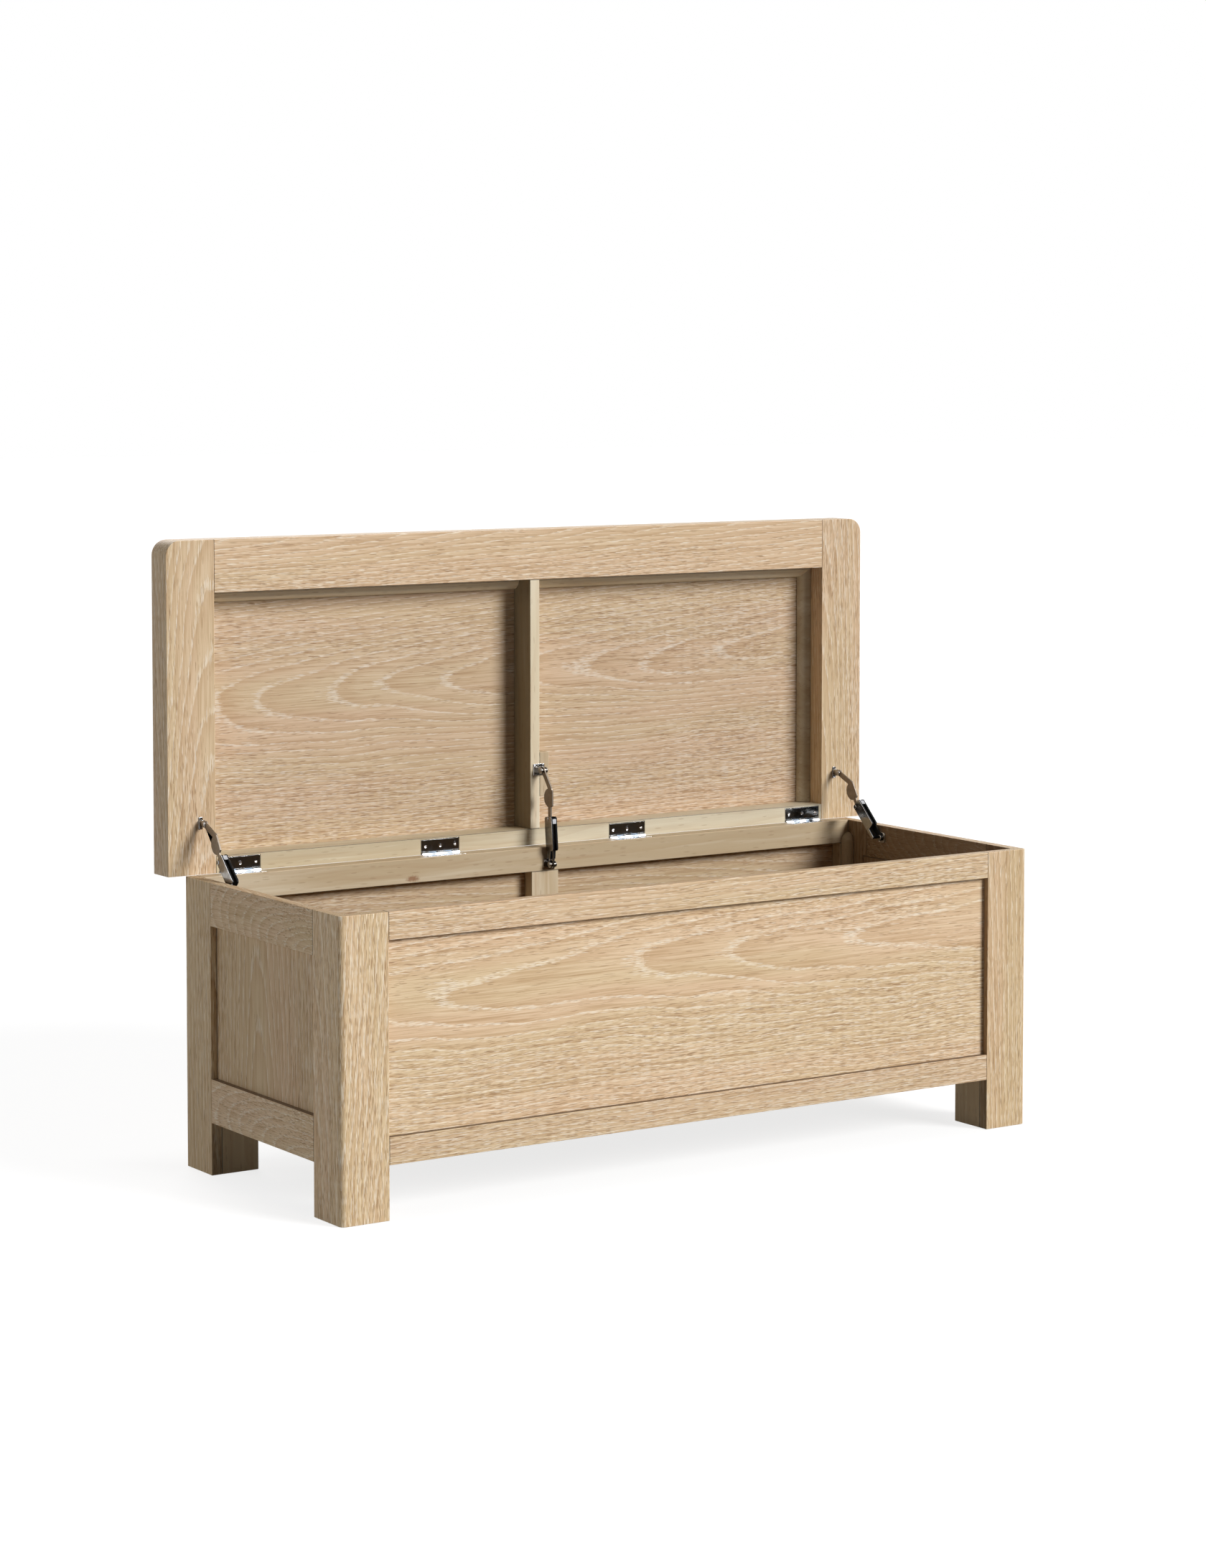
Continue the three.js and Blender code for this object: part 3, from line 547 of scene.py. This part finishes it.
def pale_timber():
    """Smooth pale timber of the hidden frame, with faint wide rings, soft streaks and short flecks."""
    tree = Nodes(bpy.data.materials.new("pale_timber"))
    place = fibres(tree, *PALE_SWAY)
    patterns = patterns_of(tree, place, PALE_WANDER, PALE_RING, PALE_NOISES)
    body = knotted(tree, flecked(tree, place, tinted(tree, PALE_BASE, PALE_TINTS, patterns)))
    # The tone carries each board's tone with its painted shade and painted light
    body = tree.mix(1.0, body, tree.attribute("tone", "Color"), "MULTIPLY")
    rough = tree.math("MULTIPLY_ADD", patterns["fibre"], PALE_FIBRE_ROUGHNESS, PALE_ROUGHNESS)
    return tree.surface(body, rough, tree.bump(patterns["fibre"], *PALE_BUMP), Specular_IOR_Level=PALE_SHINE)


# Metal and plastic: the stretch of smears and scratches, how much colour a smear keeps, where smears
# set in and are full for the colour and for the roughness, and the height of the scratches
SMEAR_STRETCH = (160, 160, 160)
SCRATCH_STRETCH = (260, 4200, 4200)
SMEAR_KEEPS = 0.92
SMEAR_SHADE = (0.3, 0.7)
SMEAR_ROUGH = (0.3, 0.75)
SCRATCH_BUMP = (0.00001, 0.3)


def metal(name, base, smooth, rough, **uniform):
    """Plated steel, or plastic, with faint smears and fine scratches, between two roughnesses."""
    tree = Nodes(bpy.data.materials.new(name))
    place = tree.place()
    smear = tree.noise(place, SMEAR_STRETCH, detail=3)
    scratch = tree.noise(place, SCRATCH_STRETCH)
    dim = colour(*[part * SMEAR_KEEPS for part in base])
    shade = tree.mix(tree.span(smear, *SMEAR_SHADE), colour(*base), dim)
    roughness = tree.span(smear, *SMEAR_ROUGH, smooth, rough)
    return tree.surface(shade, roughness, tree.bump(scratch, *SCRATCH_BUMP), **uniform)


OAK = limed_oak()
PALE = pale_timber()
CHROME = metal("bright_plate", (222, 222, 224), 0.08, 0.18, Metallic=1.0)
DARK = metal("dark_plate", (150, 145, 138), 0.10, 0.20, Metallic=1.0)
BLACK = metal("black_insert", (9, 9, 10), 0.40, 0.55, Specular_IOR_Level=0.15)
CAP = metal("stay_cap", (205, 206, 210), 0.35, 0.50)
ARM = metal("dull_plate", (138, 127, 114), 0.34, 0.46, Metallic=0.85)
# The lid leaf is the same plating made darker, as a painted reflection of the dark box that it faces
LID_LEAF_SHADED_CHROME = metal("lid_leaf_shaded_chrome", (132, 142, 152), 0.08, 0.16, Metallic=1.0)


def all_surfaces():
    """One search tree over all nodes at rest, with the node that each of its faces belongs to."""
    points, faces, owners = [], [], []
    for node, made in frame["nodes"].items():
        start = len(points)
        points += [vertex.co for vertex in made.data.vertices]
        faces += [[start + index for index in face.vertices] for face in made.data.polygons]
        owners += [node] * len(made.data.polygons)
    return BVHTree.FromPolygons(points, faces), owners


SURFACES, OWNERS = all_surfaces()


def at_joint(node, place):
    """Whether another piece lies right beside a place on the edge of a node."""
    return any(OWNERS[found[2]] != node for found in SURFACES.find_nearest_range(place, JOINT_REACH))


def body_of(node):
    bodies = frame["record"]["behaviour"]["bodies"]
    return next(body for body, members in bodies.items() if node in members)


def middle_of(node):
    low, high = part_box(node)
    return (low + high) / 2


def mesh_of(made, name):
    """A new mesh with what a bmesh holds, which is let go."""
    mesh = bpy.data.meshes.new(name)
    made.to_mesh(mesh)
    made.free()
    return mesh


def on_seam(place):
    """Whether a place lies where the lid meets the back of the box."""
    off = place - HINGE_LINE
    return off.y > -SEAM_AHEAD and abs(off.z) < SEAM_HALF_HEIGHT


def eased(node, width, steps):
    """A copy of a node's mesh, its sharp outer edges eased, and the middles of the edge faces by index."""
    made = bmesh.new()
    made.from_mesh(frame["nodes"][node].data)
    bmesh.ops.remove_doubles(made, verts=made.verts, dist=WELD)
    bmesh.ops.dissolve_limit(made, angle_limit=FLAT, verts=made.verts, edges=made.edges)
    edges = [edge for edge in made.edges if len(edge.link_faces) == 2]
    sharp = [edge for edge in edges if edge.is_convex and edge.calc_face_angle() > SHARP]
    if not node.startswith(("hinge", "stay")):
        sharp = [edge for edge in sharp if not all(on_seam(vertex.co) for vertex in edge.verts)]
    edge_faces = bmesh.ops.bevel(
        made,
        geom=sharp,
        offset=width,
        segments=steps,
        profile=ROUND,
        affect="EDGES",
        clamp_overlap=False,
    )["faces"]
    if node.startswith("lid"):
        for vertex in made.verts:
            if on_seam(vertex.co):
                vertex.co.z -= LID_DROP
    for face in made.faces:
        face.smooth = True
    for edge in made.edges:
        edge.smooth = len(edge.link_faces) == 2 and edge.calc_face_angle(0) < SHARP
    made.faces.index_update()
    edge_middles = {face.index: face.calc_center_median() for face in edge_faces}
    return mesh_of(made, node + "_eased"), edge_middles


def shown(mesh, name, materials, body, slot, *nodes):
    """Puts a mesh in the scene as a piece that rides on a body and stands for some nodes."""
    made = bpy.data.objects.new(name, mesh)
    bpy.context.scene.collection.objects.link(made)
    for material in materials:
        mesh.materials.append(material)
    made.modifiers.new("even shading", "WEIGHTED_NORMAL").keep_sharp = True
    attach(made, body)
    if nodes:
        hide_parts(*nodes)


def give_grain(mesh, node, along, across, pith, slope, shift):
    """Gives each point its place along, across and through the grain, and the pith of its board."""
    middle = middle_of(node)
    through = along.cross(across)
    packings = [packing for start, packing in FIGURE.items() if node.startswith(start)]
    packed_along, packed_across = packings[0] if packings else (1, 1)
    slopes = [part * packed_across / packed_along for part in slope]
    places = []
    for vertex in mesh.vertices:
        off = vertex.co - middle
        places.append(off.dot(along) * packed_along + shift)
        places += [off.dot(across) * packed_across, off.dot(through) * packed_across]
    heart = [0, *(part * packed_across - rise * shift for part, rise in zip(pith, slopes))]
    for name, values in (
        ("timber", places),
        ("heart", heart * len(mesh.vertices)),
        ("slope", [0, *slopes] * len(mesh.vertices)),
    ):
        mesh.attributes.new(name, "FLOAT_VECTOR", "POINT").data.foreach_set("vector", values)


def looks_inside(face):
    """Whether an upright face of the box lies on the inner side of its boards."""
    return abs(face.normal.z) < UPRIGHT and abs(face.center.x) < INNER_X and face.center.y > INNER_Y


def give_tones(mesh, node, tone, edge_middles):
    """Gives each face its tone: the board's, changed by painted shade and painted light on some faces and inside
    the box, on edges and beside joints.
    """
    tones = []
    for face in mesh.polygons:
        shade = Vector(tone if isinstance(tone, tuple) else (tone, tone, tone))
        # Painted shade and painted light on the faces listed in the table
        if node in PAINTED_FACE_SHADE_AND_LIGHT:
            way, least, painted_tone = PAINTED_FACE_SHADE_AND_LIGHT[node]
            if face.normal.dot(way) > least:
                shade = shade * Vector(painted_tone)
        # Painted shade on the inner faces of the box
        if node.startswith(SHADED_INSIDE_BOARDS) and looks_inside(face):
            shade = shade * Vector(INSIDE_PAINTED_SHADE)
        if face.index in edge_middles:
            # Edges beside joints are darker; free edges are lighter, partly wear and partly a painted highlight
            shade *= JOINT_TONE if at_joint(node, edge_middles[face.index]) else EDGE_WEAR_AND_HIGHLIGHT
        tones.extend(shade)
    mesh.attributes.new("tone", "FLOAT_VECTOR", "FACE").data.foreach_set("vector", tones)


def board(index, node, material, slot, along, across, pith, slope, tone):
    """One board of the chest, whose index shifts its grain."""
    mesh, edge_middles = eased(node, ARRIS, ARRIS_STEPS)
    give_grain(mesh, node, along, across, pith, slope, index * SHIFT_STEP)
    give_tones(mesh, node, tone, edge_middles)
    shown(mesh, node + "_board", [material], body_of(node), slot, node)


def fitting(node, width, side_finish, edge_finish, other_finish):
    """A metal part, with finishes for the outer faces that look sideways, the eased edges and the rest."""
    on_side, on_edge, on_rest = range(3)
    mesh, edge_middles = eased(node, width, METAL_EDGE_STEPS)
    middle = middle_of(node)
    for face in mesh.polygons:
        looks_inward = (face.center.x - middle.x) * face.normal.x < 0
        if "casing" in node and looks_inward:
            face.material_index = on_rest
        elif face.index in edge_middles:
            face.material_index = on_edge
        elif abs(face.normal.x) < SIDEWAYS:
            face.material_index = on_rest
        else:
            face.material_index = on_side
    slot = "hinge_chrome" if node.startswith("hinge") else "stay_metal"
    finishes = [side_finish, edge_finish, other_finish]
    shown(mesh, node + "_metal", finishes, body_of(node), slot, node)


def turned_head(radius):
    """A screw head without its cross: the outline turned round +Z."""
    made = bmesh.new()
    rows = []
    for share, up in SCREW_OUTLINE:
        away = radius * share
        count = SCREW_STEPS if away else 1
        turns = [2 * pi * step / count for step in range(count)]
        rows.append([made.verts.new((away * cos(turn), away * sin(turn), up)) for turn in turns])
    for inner, outer in zip(rows, rows[1:]):
        for step in range(SCREW_STEPS):
            after = (step + 1) % SCREW_STEPS
            ring = [inner[step % len(inner)], outer[step % len(outer)]]
            ring += [outer[after % len(outer)], inner[after % len(inner)]]
            made.faces.new(list(dict.fromkeys(ring)))
    bmesh.ops.recalc_face_normals(made, faces=made.faces)
    return mesh_of(made, "screw_head")


def cross_bars(radius):
    """Two crossed bars, which are cut out of a screw head."""
    made = bmesh.new()
    for long_side, short_side in ((CROSS_LENGTH, CROSS_WIDTH), (CROSS_WIDTH, CROSS_LENGTH)):
        size = Vector((long_side * 2 * radius, short_side * 2 * radius, SCREW_DEPTH))
        place = Matrix.Translation((0, 0, SCREW_DEPTH * CROSS_RISE)) @ Matrix.Diagonal((*size, 1))
        bmesh.ops.create_cube(made, size=1, matrix=place)
    return mesh_of(made, "screw_cross")


def screw_head(radius):
    """The mesh of a raised countersunk head that looks along +Z, with a cross cut into it."""
    pair = [bpy.data.objects.new(mesh.name, mesh) for mesh in (turned_head(radius), cross_bars(radius))]
    for made in pair:
        bpy.context.scene.collection.objects.link(made)
    head, cross = pair
    cut = head.modifiers.new("cross", "BOOLEAN")
    cut.operation = "DIFFERENCE"
    cut.use_self = True
    cut.object = cross
    graph = bpy.context.evaluated_depsgraph_get()
    finished = bpy.data.meshes.new_from_object(head.evaluated_get(graph))
    for made in pair:
        bpy.data.objects.remove(made)
    return finished


LEAF_SCREW = screw_head(LEAF_SCREW_RADIUS)
BRACKET_SCREW = screw_head(BRACKET_SCREW_RADIUS)


def screws(node, head, places, look):
    """The screws in one part, each head looking the same way with its cross turned its own way."""
    name = node + "_screws"
    facing = look.to_track_quat("Z", "Y").to_matrix().to_4x4()
    made = bmesh.new()
    for index, place in enumerate(places):
        one = head.copy()
        turn = Matrix.Rotation(SCREW_TURN * (index + len(name)), 4, "Z")
        one.transform(Matrix.Translation(place) @ facing @ turn)
        made.from_mesh(one)
        bpy.data.meshes.remove(one)
    shown(mesh_of(made, name), name, [CHROME], body_of(node), "hinge_chrome")


def hinge(index):
    """One butt hinge: its two leaves, its pin and the three screws of each leaf."""
    name = f"hinge_{index}"
    for part, finish in (("_box_leaf", CHROME), ("_lid_leaf", LID_LEAF_SHADED_CHROME), ("_pin", CHROME)):
        fitting(name + part, HINGE_EDGE, finish, CHROME, finish)
    pin = middle_of(name + "_pin")
    for leaf, reach, look in (("_box_leaf", -Y, Z), ("_lid_leaf", Z, -Y)):
        middle = pin + reach * LEAF_SCREW_FROM_PIN - look * LEAF_FACE_BEHIND_PIN
        places = [middle + X * along for along in LEAF_SCREWS]
        screws(name + leaf, LEAF_SCREW, places, look)


def casing_frame(side):
    """The pin of a casing, the way along it and the way to its front, from its rivets at the elbow."""
    node = f"stay_casing_{side}"
    joint = next(joint for joint in frame["joints"] if joint["child"] == body_of(node))
    pin = Vector(joint["pos_m"])
    points = [vertex.co for vertex in frame["nodes"][node].data.vertices]
    outer = max(point.x for point in points)
    rivet = [point for point in points if outer - point.x < WELD]
    elbow = sum(rivet, Vector()) / len(rivet)
    turn = atan2(elbow.z - pin.z, elbow.y - pin.y) + CASING_TILT[side]
    middle = (outer + min(point.x for point in points)) / 2
    along, front = Vector((0, cos(turn), sin(turn))), Vector((0, -sin(turn), cos(turn)))
    return Vector((middle, pin.y, pin.z)), along, front


def cap(side):
    """The light cap in the front of a casing."""
    pin, along, front = casing_frame(side)
    size = Vector((2 * CAP_HALF_WIDTH, CAP_ALONG[1] - CAP_ALONG[0], CAP_ON_FRONT[1] - CAP_ON_FRONT[0]))
    made = bmesh.new()
    bmesh.ops.create_cube(made, size=1, matrix=Matrix.Diagonal((*size, 1)))
    bmesh.ops.bevel(
        made,
        geom=made.edges[:],
        offset=METAL_EDGE,
        segments=CAP_EDGE_STEPS,
        affect="EDGES",
    )
    to_front = CASING_OFFSET[side] + CASING_HALF_DEPTH
    middle = pin + along * sum(CAP_ALONG) / 2 + front * (to_front + sum(CAP_ON_FRONT) / 2)
    turn = Matrix((X, along, front)).transposed().to_4x4()
    bmesh.ops.transform(made, matrix=Matrix.Translation(middle) @ turn, verts=made.verts)
    name = f"stay_cap_{side}"
    shown(mesh_of(made, name), name, [CAP], body_of(f"stay_casing_{side}"), "stay_metal")


def bracket_screws(node, side):
    """The two screws of a stay's bracket."""
    low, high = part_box(node)
    middle = (low + high) / 2
    if "box" in node and side != "centre":
        inward = 1 if side == "left" else -1
        wall = low.x if side == "left" else high.x
        middle.x = wall + inward * WALL_PLATE
        places = [middle + Y * along + Z * up for along, up in WALL_SCREWS]
        screws(node, BRACKET_SCREW, places, X * inward)
    else:
        middle.y = high.y - BACK_PLATE
        spots = CENTRE_STAY_SCREWS if side == "centre" else SIDE_STAY_SCREWS
        places = [middle + X * along + Z * up for along, up in spots]
        screws(node, BRACKET_SCREW, places, -Y)


def stay(side):
    """One lid stay: arm, casing with its cap, and two brackets with their screws."""
    brackets = [f"stay_{end}_bracket_{side}" for end in ("lid", "box")]
    fitting(f"stay_arm_{side}", METAL_EDGE, ARM, ARM, ARM)
    fitting(f"stay_casing_{side}", CASING_EDGE, DARK, CHROME, BLACK)
    for node in brackets:
        fitting(node, METAL_EDGE, DARK, CHROME, DARK)
    cap(side)
    for node in brackets:
        bracket_screws(node, side)


for index, (node, settings) in enumerate(OAK_BOARDS.items(), start=1):
    board(index, node, OAK, "oak", *settings)
for index, (node, (along, across, tone)) in enumerate(PALE_BOARDS.items(), start=1 + len(OAK_BOARDS)):
    board(index, node, PALE, "secondary_wood", along, across, PALE_PITH, PALE_SLOPE, tone)
for index in range(1, HINGES + 1):
    hinge(index)
for side in ("left", "centre", "right"):
    stay(side)


# Floor: its size, how far it lies below the feet, its two greys and the stretch of their pattern, and
# how brightly it shows away from the box and under it, where a painted shadow dims it, with how far
# outside the box each of them is
FLOOR_SIZE = 60
FLOOR_DROP = 0.0004
FLOOR_SHADE = (0.31, 0.33)
FLOOR_PAPER = (6, 6, 6)
FLOOR_GLOW = (0.885, 0.775)
FLOOR_PAINTED_SHADOW_REACH = (0.14, -0.12)

# The sky's light on the object, where 1 is white
SKY = 0.03

# Lamps: azimuth from the front to the right, height and width, in degrees, and strength
LIGHTS = {
    "key": (30, 26, 26, 3.4),
    "left_fill": (-108, 15, 30, 0.72),
    "back_fill": (160, 28, 30, 1.0),
}

# A black card that mirrors see, with its distance, and its azimuth in degrees
FLAG_WIDTH = 3.4
FLAG_HEIGHT = 1.15
FLAG_AWAY = 2.6
FLAG_AZIMUTH = 33
FLAG_COLOUR = (0.01, 0.009, 0.008, 1)


def seen_rays(tree):
    """One for the rays that the camera, a mirror or glass sends out, and nought for scattered light."""
    path = tree.add("LightPath")
    seen = tree.math("MAXIMUM", path.outputs["Is Camera Ray"], path.outputs["Is Glossy Ray"])
    return tree.math("MAXIMUM", seen, path.outputs["Is Transmission Ray"])


def beyond_box(tree, place):
    """How far a place lies outside the outline of the box on the floor, less than nought inside it."""
    low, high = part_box("leg_front_left")[0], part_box("stile_rear_right")[1]
    middle, half = (low + high) / 2, (high - low) / 2
    off = tree.vector("ABSOLUTE", tree.vector("SUBTRACT", place, (middle.x, middle.y, 0)))
    over = tree.vector("SUBTRACT", off, (half.x, half.y, 0))
    return tree.math("MAXIMUM", tree.vector("DOT_PRODUCT", over, X), tree.vector("DOT_PRODUCT", over, Y))


def floor():
    """A pale floor that shows white, keeps the cast shadow of the chest, and has a painted shadow under it."""
    tree = Nodes(bpy.data.materials.new("studio_floor"))
    place = tree.place()
    dim, pale = [(shade, shade, shade, 1) for shade in FLOOR_SHADE]
    diffuse = tree.add("BsdfDiffuse")
    tree.put(diffuse.inputs["Color"], tree.mix(tree.noise(place, FLOOR_PAPER), dim, pale))
    # Painted shadow: the floor shows dimmer under the box and just round it
    strength = tree.span(beyond_box(tree, place), *FLOOR_PAINTED_SHADOW_REACH, *FLOOR_GLOW)
    glow = tree.add("Emission")
    tree.put(glow.inputs["Strength"], tree.math("MULTIPLY", seen_rays(tree), strength))
    total = tree.add("AddShader")
    for target, shader in zip(total.inputs, (diffuse, glow)):
        tree.put(target, shader.outputs[0])
    bpy.ops.mesh.primitive_plane_add(size=FLOOR_SIZE, location=(0, 0, -FLOOR_DROP))
    made = bpy.context.object
    made.name = "studio_floor"
    made.data.materials.append(tree.finish(total))


def flag():
    """A black card in front, to the right, that only mirrors see, so that the metal has depth."""
    tree = Nodes(bpy.data.materials.new("studio_flag"))
    black = tree.add("BsdfDiffuse")
    tree.put(black.inputs["Color"], FLAG_COLOUR)
    bpy.ops.mesh.primitive_plane_add(size=1)
    made = bpy.context.object
    made.name = "studio_flag"
    made.scale = (FLAG_WIDTH, FLAG_HEIGHT, 1)
    turn = radians(FLAG_AZIMUTH)
    made.location = (sin(turn) * FLAG_AWAY, -cos(turn) * FLAG_AWAY, FLAG_HEIGHT / 2)
    made.rotation_euler = (pi / 2, 0, turn)
    made.data.materials.append(tree.finish(black))
    made.visible_camera = made.visible_diffuse = made.visible_shadow = False


def sky():
    """A world that shows white, and lights the object only a little."""
    world = bpy.data.worlds.new("studio")
    bpy.context.scene.world = world
    tree = Nodes(world)
    background = tree.add("Background")
    tree.put(background.inputs["Color"], WHITE)
    tree.put(background.inputs["Strength"], tree.math("MULTIPLY_ADD", seen_rays(tree), 1 - SKY, SKY))
    tree.finish(background, "World")


def lamp(name, azimuth, height, width, strength):
    """A distant soft light."""
    data = bpy.data.lights.new(name, "SUN")
    data.angle = radians(width)
    data.energy = strength
    made = bpy.data.objects.new(name, data)
    turn, rise = radians(azimuth), radians(height)
    back = Vector((sin(turn) * cos(rise), -cos(turn) * cos(rise), sin(rise)))
    made.rotation_mode = "QUATERNION"
    made.rotation_quaternion = back.to_track_quat("Z", "Y")
    bpy.context.scene.collection.objects.link(made)


def camera():
    data = bpy.data.cameras.new("camera")
    data.sensor_width = SENSOR
    data.lens = CAMERA_LENS
    data.shift_y = CAMERA_SHIFT
    made = bpy.data.objects.new("camera", data)
    made.location = CAMERA_PLACE
    made.rotation_euler = (pi / 2 - radians(CAMERA_DIP), 0, -radians(CAMERA_TURN))
    bpy.context.scene.collection.objects.link(made)
    bpy.context.scene.camera = made


floor()
flag()
sky()
for name, settings in LIGHTS.items():
    lamp(name, *settings)
camera()
bpy.context.scene.view_settings.view_transform = "Standard"
